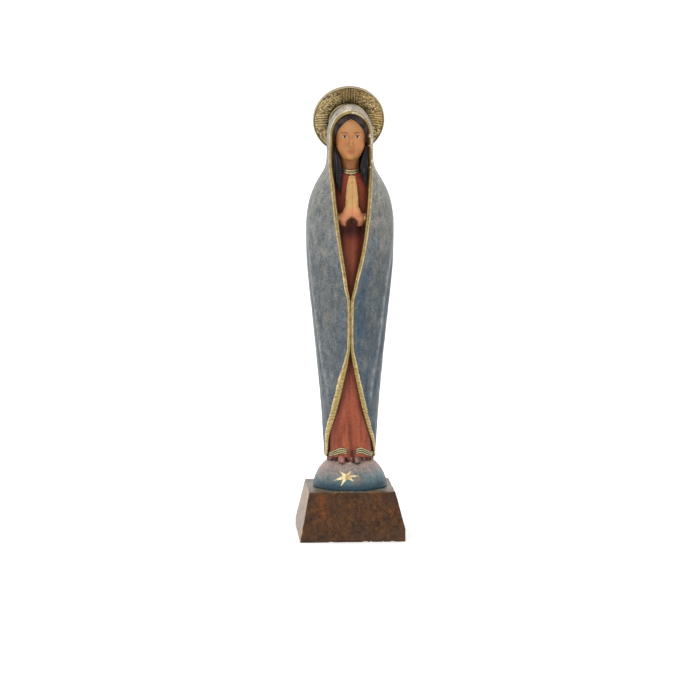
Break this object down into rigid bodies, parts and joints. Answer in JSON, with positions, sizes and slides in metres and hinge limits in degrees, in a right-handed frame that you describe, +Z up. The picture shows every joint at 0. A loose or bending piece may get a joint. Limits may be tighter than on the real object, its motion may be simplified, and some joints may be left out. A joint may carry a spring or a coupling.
{
  "type": "madonna statue",
  "caption": "Slim carved and painted Madonna in a gilt-edged blue mantle, praying on a star-marked globe, with a gilt halo and a tapered wooden plinth.",
  "frame": {"origin": "centre of the plinth's underside", "axes": "+Z up along the figure, -Y is the figure's front, +X is on the viewer's right when facing the figure"},
  "size_m": [0.0162, 0.0162, 0.07],
  "materials": {
    "plinth_wood": "dark mottled brown stain",
    "bare_wood": "bare",
    "globe_paint": "teal to grey antique paint on wood",
    "robe_paint": "terracotta antique paint on wood",
    "mantle_paint": "mottled grey-blue antique paint on wood",
    "gold_paint": "gold paint on wood",
    "shoe_paint": "dark brown paint on wood",
    "skin_paint": "warm skin-tone paint on wood",
    "hair_paint": "dark brown paint on wood",
    "halo_metal": "stamped gilt metal with dark patina"
  },
  "bodies": {
    "root": {"plinth": "plinth_wood", "globe": "globe_paint", "star": "gold_paint", "dowel": "bare_wood", "left_foot": "shoe_paint", "right_foot": "shoe_paint", "underskirt": "robe_paint", "robe": "robe_paint", "hem_left": "gold_paint", "hem_right": "gold_paint", "mantle": "mantle_paint", "border_left": "gold_paint", "border_right": "gold_paint", "head": "skin_paint", "hair_cap": "hair_paint", "left_lock": "hair_paint", "right_lock": "hair_paint", "collar": "gold_paint", "left_hand": "skin_paint", "right_hand": "skin_paint", "left_sleeve": "robe_paint", "right_sleeve": "robe_paint", "left_cuff": "gold_paint", "right_cuff": "gold_paint", "halo": "halo_metal", "halo_pin": "halo_metal"}
  },
  "joints": []
}
